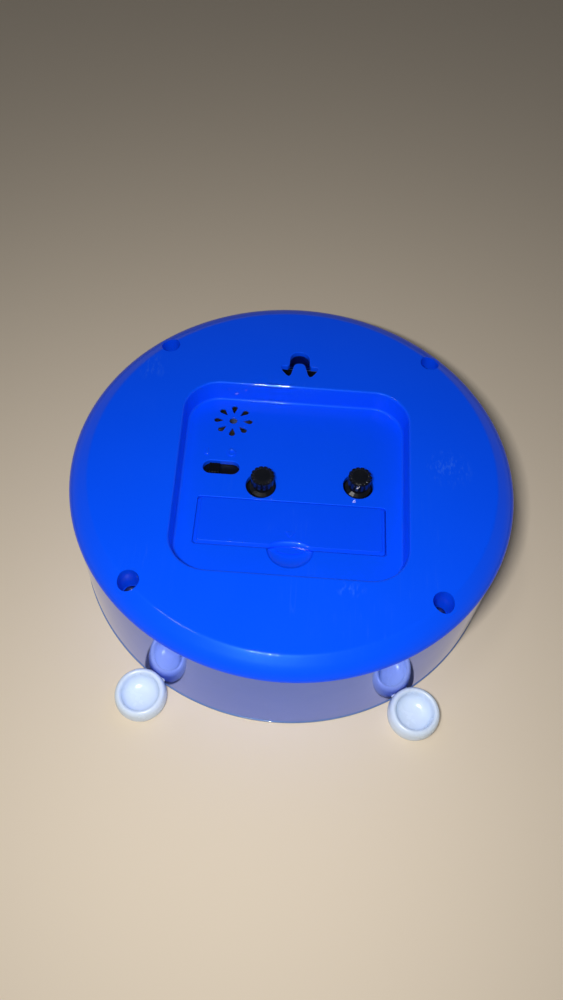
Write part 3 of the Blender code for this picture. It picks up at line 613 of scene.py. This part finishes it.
def back_cover():
    z = lambda h: RIM_Z + h
    shoulder = spline([(64.9, z(5.0)), (65.7, z(4.99)), (66.2, z(4.90)), (66.6, z(4.75)), (67.1, z(4.53)), (68.0, z(4.11)),
                       (69.1, z(3.57)), (70.1, z(2.98)), (70.9, z(2.40)), (71.5, z(1.85)), (71.95, z(1.33)), (72.25, z(0.85)),
                       (72.42, z(0.45)), (R_COVER, z(0.12))], 4)
    outer = [(0, TOP)] + shoulder + [(R_COVER - 0.05, RIM_Z + 0.02), (R_COVER - 0.2, RIM_Z)]
    inner = [(70.35, RIM_Z), (69.8, 37.6), (69.8, 33.6), (68.3, 33.6), (68.3, 38.6), (66.5, 39.5), (0, 39.5)]
    ob = add_object("cover_shell", lathe(outer + inner, 192), M["blue"])
    tub = loft([(recess_outline(REC_DRAFT - 1.9), REC_Z - 2.0), (recess_outline(-1.9), 40.2)])
    collar = block(-32.2, 32.7, -30.4, -9.3, 29.9, 32.4)
    boss = block(-8.0, 9.1, -36.4, -30.0, 29.9, 32.4)
    trough = block(-29.8, 30.3, -28.4, -11.15, 15.3, 31.0)
    for bm in (tub, collar, boss, trough):
        boolean(ob, bm, 'UNION')
    boolean(ob, merged(*[drum(4.2, 29.0, 39.9, 32, c) for c in SCREWS]), 'UNION')
    # control recess: rolled top edge, draft, filleted floor
    rt, rb = 0.8, 1.1
    rows = [(recess_outline(-rt - 0.06), TOP + 0.8), (recess_outline(-rt - 0.02), TOP + 0.02)]
    for k in range(7):
        a = math.radians(90 * k / 6)
        rows.append((recess_outline(-rt * (1 - math.sin(a))), TOP - rt * (1 - math.cos(a)) - 0.003))
    for k in range(7):
        a = math.radians(90 * k / 6)
        rows.append((recess_outline(REC_DRAFT - 0.0 + rb * (1 - math.cos(a))), REC_Z + rb * (1 - math.sin(a))))
    boolean(ob, loft(rows), 'DIFFERENCE')
    # battery bay, door pocket with a fine broken edge, finger scoop
    boolean(ob, block(-28.6, 29.1, -27.2, -12.3, 16.5, 34.5), 'DIFFERENCE')
    g = 0.16
    pocket = rounded([(DOOR_X0 - g, DOOR_Y0 - g), (DOOR_X1 + g, DOOR_Y0 - g), (DOOR_X1 + g, DOOR_Y1 + g), (DOOR_X0 - g, DOOR_Y1 + g)], 0.9, 5)
    boolean(ob, flared(pocket, REC_Z, REC_Z - DOOR_T - 0.3, 0.22, 3), 'DIFFERENCE')
    tool = add_object("tool_scoop", scoop(NOTCH_RY, 2.5))
    boolean(tool, block(-8.5, 9.5, DOOR_Y0 - g, DOOR_Y0 + 12, 20, 40), 'DIFFERENCE')
    sc = bmesh.new()
    sc.from_mesh(tool.data)
    for v in sc.verts:
        v.co = v.co / MM
    bpy.data.objects.remove(tool, do_unlink=True)
    boolean(ob, sc, 'DIFFERENCE')
    # knob holes, switch slot, hanger, grille, screw wells
    holes = [flared(circle(*HOLE_TIME, KNOB_HOLE_R, 64), REC_Z, 28.5, 0.3), flared(circle(*HOLE_ALARM, KNOB_HOLE_R, 64), REC_Z, 28.5, 0.3),
             flared(stadium(*SLOT_C, SLOT_L, SLOT_W), REC_Z, 30.5, 0.3), flared(circle(*GRILLE_C, 1.35, 28), REC_Z, 30.5, 0.18)]
    holes += [flared(petal(*GRILLE_C, math.radians(45 * k)), REC_Z, 30.5, 0.13, 3) for k in range(8)]
    boolean(ob, drum(7.9, 29.0, REC_Z - 0.7, 48, GRILLE_C), 'DIFFERENCE')
    boolean(ob, merged(*holes), 'DIFFERENCE')
    boolean(ob, flared(hanger_outline(), TOP, 38.5, 0.28, 4), 'DIFFERENCE')
    boolean(ob, merged(*[drum(WELL_R, WELL_Z, TOP + 1, 48, c) for c in SCREWS]), 'DIFFERENCE')
    boolean(ob, merged(*[drum(1.6, 28.0, WELL_Z + 1, 20, c) for c in SCREWS]), 'DIFFERENCE')
    weighted(ob)
    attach(ob, "case")
    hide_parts("back_cover")
    # raised marks beside the switch: a bar and a ring
    bar = rounded([(-29.9, 5.7), (-28.9, 5.7), (-28.9, 8.1), (-29.9, 8.1)], 0.3, 3)
    bar = loft([(bar, REC_Z - 0.05), (bar, REC_Z + 0.30), (offset(bar, -0.14), REC_Z + 0.40)])
    marks = add_object("switch_marks", merged(bar, lathe([(0.72, REC_Z - 0.05), (1.5, REC_Z - 0.05), (1.46, REC_Z + 0.28), (1.3, REC_Z + 0.40), (0.95, REC_Z + 0.40), (0.78, REC_Z + 0.28)], 40, (-21.0, 6.9))), M["blue"])
    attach(marks, "case")
    return ob


def battery_door():
    cx = NOTCH_C[0]
    arc = []
    for k in range(0, 19):
        x = cx - NOTCH_RX + 2 * NOTCH_RX * k / 18
        arc.append((x, DOOR_Y0 + 1.2 * (1 - ((x - cx) / NOTCH_RX) ** 2)))
    corner = lambda x, y, a0: [(x + 0.9 * math.cos(math.radians(a0 + 90 * k / 5)), y + 0.9 * math.sin(math.radians(a0 + 90 * k / 5))) for k in range(6)]
    outline = (corner(DOOR_X0 + 0.9, DOOR_Y0 + 0.9, 180) + arc + corner(DOOR_X1 - 0.9, DOOR_Y0 + 0.9, 270)
               + corner(DOOR_X1 - 0.9, DOOR_Y1 - 0.9, 0) + corner(DOOR_X0 + 0.9, DOOR_Y1 - 0.9, 90))
    wd, ht = DOOR_X1 - DOOR_X0, DOOR_Y1 - DOOR_Y0
    mid = (DOOR_X0 + DOOR_X1) / 2

    def inset(d):
        return [(mid + (x - mid) * (wd - 2 * d) / wd, DOOR_Y1 - 0.2 * d - (DOOR_Y1 - y) * (ht - 1.2 * d) / ht) for x, y in outline]

    rows = [(inset(0.20), REC_Z - DOOR_T), (inset(0.20), REC_Z - 0.60), (inset(0.24), REC_Z - 0.48), (inset(0.34), REC_Z - 0.43)]
    rows += [(inset(0.93), REC_Z - 0.42), (inset(1.02), REC_Z - 0.38), (inset(1.10), REC_Z - 0.10), (inset(1.18), REC_Z - 0.03), (inset(1.32), REC_Z)]
    ob = add_object("door_panel", loft(rows), M["door"], origin=(0.25, DOOR_Y1, REC_Z))
    tab = [(cx + 5.0 * math.cos(math.radians(a)), DOOR_Y0 + 0.9 + 2.0 * math.sin(math.radians(a))) for a in range(180, 361, 12)]
    tab += [(cx + 5.0, DOOR_Y0 + 3.0), (cx - 5.0, DOOR_Y0 + 3.0)]
    boolean(ob, prism(tab, REC_Z - DOOR_T, REC_Z - 1.35), 'UNION')
    boolean(ob, scoop(3.2, 1.0, 48), 'DIFFERENCE')
    weighted(ob)
    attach(ob, "battery_lid")
    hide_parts("battery_door")
    arrow = rounded([(0.3, -24.3), (1.9, -22.2), (-1.3, -22.2)], 0.25, 3)
    arrow = add_object("door_arrow", loft([(arrow, REC_Z - 0.03), (arrow, REC_Z + 0.19), (offset(arrow, -0.12), REC_Z + 0.27)]), M["door"])
    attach(arrow, "battery_lid")


# ------------------------------------------------------------------ drum wall, bezel, glass, dial
def wall():
    n = 22
    prof = []
    for k in range(n + 1):
        h = k / n
        prof.append((R_RING_FRONT + (R_RING_REAR - R_RING_FRONT) * h, 1.65 + (36.05 - 1.65) * h))
    outer = [(R_RING_FRONT - 0.15, 1.5)] + prof + [(R_RING_REAR - 0.15, 36.2)]
    bm = lathe(outer + [(R_RING_REAR - 2.0, 36.2), (R_RING_FRONT - 2.0, 1.5)], 256)
    ob = add_object("drum_wall", bm, M["wall"])
    posts = []
    for x, y in SCREWS:
        ang = math.atan2(y, x)
        posts.append(drum(3.5, 11.0, 28.7, 32, (x, y)))
        rib = turned(block(64.0, 71.2, -1.2, 1.2, 11.0, 28.7), Matrix.Rotation(ang, 4, 'Z'))
        posts.append(rib)
    for p in posts:
        boolean(ob, p, 'UNION')
    for c in SCREWS:
        boolean(ob, drum(1.3, 16.0, 29.5, 16, c), 'DIFFERENCE')
    for side in (-1, 1):
        ax = foot_matrix(side) @ Matrix.Rotation(math.radians(90), 4, 'Y')
        for y in (-1.9, 1.9):
            boolean(ob, turned(drum(1.4, 68.0, 76.0, 20, (0, y)), ax), 'DIFFERENCE')
    weighted(ob)
    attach(ob, "case")
    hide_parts("case_ring")


def front():
    bez = [(67.0, 0.35), (67.1, 0.1), (67.35, 0.0), (R_BEZEL - 0.6, 0.0), (R_BEZEL - 0.2, 0.1), (R_BEZEL, 0.4), (R_BEZEL, 0.85),
           (R_BEZEL - 0.1, 1.1), (R_BEZEL - 0.35, 1.2), (70.7, 1.2), (70.7, 6.4), (69.1, 6.4), (69.1, 1.4), (67.0, 1.4)]
    ob = add_object("bezel_ring", lathe(bez, 256), M["bezel"])
    weighted(ob)
    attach(ob, "case"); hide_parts("front_bezel")
    lens = [(0, 0), (66.3, 0), (66.6, 0.12), (66.7, 0.4), (66.7, 1.7), (68.8, 1.7), (68.8, 2.9), (66.0, 2.9), (65.2, 1.6), (0, 1.6)]
    ob = add_object("front_glass", lathe(lens, 192), M["glass"])
    weighted(ob)
    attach(ob, "case"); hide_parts("front_lens")
    ring = [(64.8, 3.2), (66.9, 3.2), (66.9, 8.7), (65.6, 8.7)]
    ob = add_object("chapter_ring", lathe(ring, 192), M["white"])
    weighted(ob)
    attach(ob, "case"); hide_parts("dial_ring")
    ob = add_object("dial_disc", prism(circle(0, 0, 66.9, 192), 9.0, 10.2, [circle(0, 0, 5.0, 40)]), M["dial"])
    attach(ob, "case"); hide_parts("dial_plate")
    # printed minute track and hour bars
    parts = []
    for k in range(60):
        a = math.radians(6 * k)
        long = k % 5 == 0
        w, r0, r1 = (0.85, 57.0, 63.0) if long else (0.28, 60.4, 63.0)
        pts = [(-w, r0), (w, r0), (w, r1), (-w, r1)]
        pts = [(x * math.cos(a) - y * math.sin(a), x * math.sin(a) + y * math.cos(a)) for x, y in pts]
        parts.append(prism(pts, 8.92, 9.02))
    track = add_object("minute_track", merged(*parts), M["print"])
    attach(track, "case")
    # numbers 1 to 12, read through the glass
    for h in range(1, 13):
        cu = bpy.data.curves.new("numeral_%d" % h, 'FONT')
        cu.body = str(h)
        cu.size = 0.0145
        cu.align_x, cu.align_y = 'CENTER', 'CENTER'
        cu.extrude = 0.00006
        cu.offset = 0.00028
        tmp = bpy.data.objects.new("numeral_tmp", cu)
        SCENE.collection.objects.link(tmp)
        bpy.context.view_layer.update()
        me = bpy.data.meshes.new_from_object(tmp.evaluated_get(bpy.context.evaluated_depsgraph_get()))
        bpy.data.objects.remove(tmp, do_unlink=True)
        a = math.radians(30 * h)
        m = Matrix.Translation((-47.5 * MM * math.sin(a), 47.5 * MM * math.cos(a), 8.96 * MM)) @ Matrix.Rotation(math.pi, 4, 'Y')
        me.transform(m)
        me.materials.clear()
        me.materials.append(M["print"])
        me.name = "numeral_%d" % h
        ob = bpy.data.objects.new("numeral_%d" % h, me)
        SCENE.collection.objects.link(ob)
        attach(ob, "case")


def hands():
    def hand(name, node, outline, hub, bore, z0, z1, mat, angle, body):
        a = math.radians(angle)
        pts = [(x * math.cos(a) - y * math.sin(a), x * math.sin(a) + y * math.cos(a)) for x, y in outline]
        e = 0.08
        ob = add_object(name, loft([(offset(pts, -e), z0), (pts, z0 + e), (pts, z1 - e), (offset(pts, -e), z1)]), mat)
        boolean(ob, drum(hub, z0 - 0.05, z1 + 0.05, 40), 'UNION')
        if bore:
            boolean(ob, drum(bore, z0 - 1, z1 + 1, 32), 'DIFFERENCE')
        weighted(ob)
        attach(ob, body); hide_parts(node)

    def leaf(w0, w1, back, length):
        pts = [(-w0 * 0.55, -back), (w0 * 0.55, -back), (w0 * 0.8, -back * 0.4), (w0, 0)]
        pts += [(w0 + (w1 - w0) * t, length * t) for t in (0.25, 0.5, 0.75, 0.95)]
        pts += [(0, length + w1)]
        pts += [(-(w0 + (w1 - w0) * t), length * t) for t in (0.95, 0.75, 0.5, 0.25)]
        return pts + [(-w0, 0), (-w0 * 0.8, -back * 0.4)]

    hand("alarm_pointer", "alarm_hand", leaf(1.5, 0.7, 4.5, 24.0), 4.6, 3.45, 6.4, 6.8, M["yellow"], 195, "alarm")
    hand("hour_pointer", "hour_hand", leaf(2.6, 1.6, 8.0, 36.0), 4.2, 2.55, 5.4, 5.8, M["hand"], 305.2, "hour")
    hand("minute_pointer", "minute_hand", leaf(2.2, 1.2, 10.0, 53.0), 3.6, 1.65, 4.3, 4.7, M["hand"], 62.5, "minute")
    hand("second_pointer", "second_hand", leaf(0.9, 0.35, 16.0, 56.0), 2.6, 0.7, 3.1, 3.5, M["red"], 150, "second")


# ------------------------------------------------------------------ feet, knobs, switch, screws
def foot_matrix(side):
    return Matrix.Translation((0, 0, FOOT_Z)) @ Matrix.Rotation(math.radians(-90 + side * FOOT_ANG), 4, 'Z')


def feet():
    R = FOOT_R
    for name, side in (("left", -1), ("right", 1)):
        outer = [(R * math.cos(math.radians(a)), R * math.sin(math.radians(a))) for a in range(-20, 15, 3)]
        base = [(0, -2.95), (7.3, -2.95), (7.62, -2.9)]
        rim = spline([outer[-1], (7.93, 2.45), (7.66, 3.05), (7.3, 3.48), (6.85, 3.68), (6.4, 3.58), (6.08, 3.2), (5.93, 2.6)], 3)[1:]
        bowl = spline([(5.93, 2.6), (5.78, 1.7), (5.45, 0.75), (4.9, 0.0), (4.1, -0.55), (3.0, -0.98), (1.6, -1.22), (0.0, -1.3)], 3)[1:]
        prof = base + outer + rim + bowl
        prof[-1] = (0, -1.3)
        mt = foot_matrix(side) @ Matrix.Translation((FOOT_ORBIT, 0, 0))
        ob = add_object("ball_foot_" + name, turned(lathe(prof, 96), mt), M["foot"], 60, origin=tuple(mt.translation))
        boolean(ob, lathe([(0, -1.0), (73.5, -1.0), (73.5, 1.3), (73.22, 1.42), (73.1, 12.0), (0, 12.0)], 300), 'DIFFERENCE', 60)
        ax = foot_matrix(side) @ Matrix.Rotation(math.radians(90), 4, 'Y')
        for y in (-1.9, 1.9):
            boolean(ob, turned(drum(1.2, 70.95, 75.2, 24, (0, y)), ax), 'UNION', 60)
        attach(ob, "case"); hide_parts("foot_" + name)


def knobs():
    def make(name, node, c, phase):
        z1 = KNOB_TOP
        teeth = 18

        def rib(r, z, a):
            if r < 2.5 or z < z1 - 3.8:
                return r
            w = 0.5 + 0.5 * math.cos(teeth * a + phase)
            amp = 0.80 * min(1.0, max(0.0, (z - (z1 - 3.8)) / 0.6)) * min(1.0, (r - 2.4) / 1.1)
            return r - amp * (1.0 - w) ** 0.8

        prof = [(0, 28.0), (2.6, 28.0), (2.6, 31.5), (4.2, 31.5), (4.3, 31.65), (4.3, 32.6), (4.15, 32.8), (3.2, 33.1), (3.05, 33.4),
                (3.05, z1 - 4.2), (3.3, z1 - 3.7), (3.55, z1 - 3.45), (3.72, z1 - 3.1), (3.8, z1 - 2.4), (3.8, z1 - 0.9), (3.76, z1 - 0.55), (3.62, z1 - 0.28),
                (3.4, z1 - 0.12), (3.15, z1 - 0.05), (2.85, z1 - 0.1), (2.7, z1 - 0.3), (2.55, z1 - 0.42), (1.2, z1 - 0.42),
                (0.9, z1 - 0.3), (0, z1 - 0.28)]
        ob = add_object(name, lathe(prof, teeth * 10, c, wobble=rib), M["black"], 40)
        weighted(ob)
        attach(ob, "time_knob" if node == "time_set_knob" else "alarm_knob")
        return ob
    return make("time_crown", "time_set_knob", KNOB_TIME, 0.4), make("alarm_crown", "alarm_set_knob", KNOB_ALARM, 1.9)


def switch():
    cx, cy = SLOT_C
    nx = cx - SWITCH_TRAVEL / 2
    nub = rounded([(nx - 1.9, cy - 1.95), (nx + 1.9, cy - 1.95), (nx + 1.9, cy + 1.95), (nx - 1.9, cy + 1.95)], 0.5, 4)
    zt = REC_Z - 0.35
    ob = add_object("switch_nub", loft([(nub, 30.6), (nub, zt - 0.3), (offset(nub, -0.1), zt - 0.1), (offset(nub, -0.3), zt)]), M["slider"])
    boolean(ob, block(nx - 9.0, nx + 9.6, cy - 3.4, cy + 3.4, 30.2, 31.2), 'UNION')
    boolean(ob, block(nx - 1.5, nx + 1.5, cy - 1.0, cy + 1.0, 27.4, 30.7), 'UNION')
    cuts = [turned(drum(0.24, -2.6, 2.6, 16), Matrix.Translation((nx + k * 1.0, cy, zt + 0.02)) @ Matrix.Rotation(math.radians(90), 4, 'X')) for k in (-1, 0, 1)]
    boolean(ob, merged(*cuts), 'DIFFERENCE')
    weighted(ob)
    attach(ob, "alarm_switch"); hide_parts("alarm_switch_slider")


def screws():
    for i, c in enumerate(SCREWS):
        prof = [(0, 17.5), (0.3, 17.7), (1.0, 19.5), (1.0, 31.3), (2.45, 31.3), (2.65, 31.45), (2.7, 31.8), (2.6, 32.3), (2.2, 32.8), (1.5, 33.1), (0, 33.2)]
        # screw heads take the darkened steel: painted shade of the wells
        ob = add_object("screw_%d" % (i + 1), lathe(prof, 40, c), M["blackened"])
        cross = merged(block(c[0] - 1.5, c[0] + 1.5, c[1] - 0.32, c[1] + 0.32, 32.0, 34.0))
        boolean(ob, cross, 'DIFFERENCE')
        boolean(ob, block(c[0] - 0.32, c[0] + 0.32, c[1] - 1.5, c[1] + 1.5, 32.0, 34.0), 'DIFFERENCE')
        weighted(ob)
        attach(ob, "case"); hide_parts("case_screw_%d" % (i + 1))


def finish_cad_nodes():
    table = {
        "dark": ["movement_rear_case", "alarm_switch_body", "buzzer_holder", "control_chip"],
        "black": ["time_set_knob", "alarm_set_knob"],
        "white": ["movement_front_case", "train_bridge"],
        "acetal": ["motion_wheel", "hour_wheel", "alarm_wheel", "centre_wheel", "third_wheel", "second_wheel",
                   "intermediate_wheel", "rotor"],
        "steel": ["contact_positive", "contact_negative", "contact_spring", "stator_plate", "quartz_crystal"],
        "brass": ["cannon_pinion", "mounting_nut", "buzzer_disc"],
        "copper": ["coil"],
        "board": ["circuit_board"],
        "cell": ["battery_cell"],
        "rubber": ["dial_washer"],
    }
    for key, names in table.items():
        for n in names:
            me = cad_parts[n].data
            me.materials.clear()
            me.materials.append(M[key])


camera()
materials()
stage()
back_cover()
battery_door()
wall()
front()
hands()
feet()
knobs()
switch()
screws()
finish_cad_nodes()
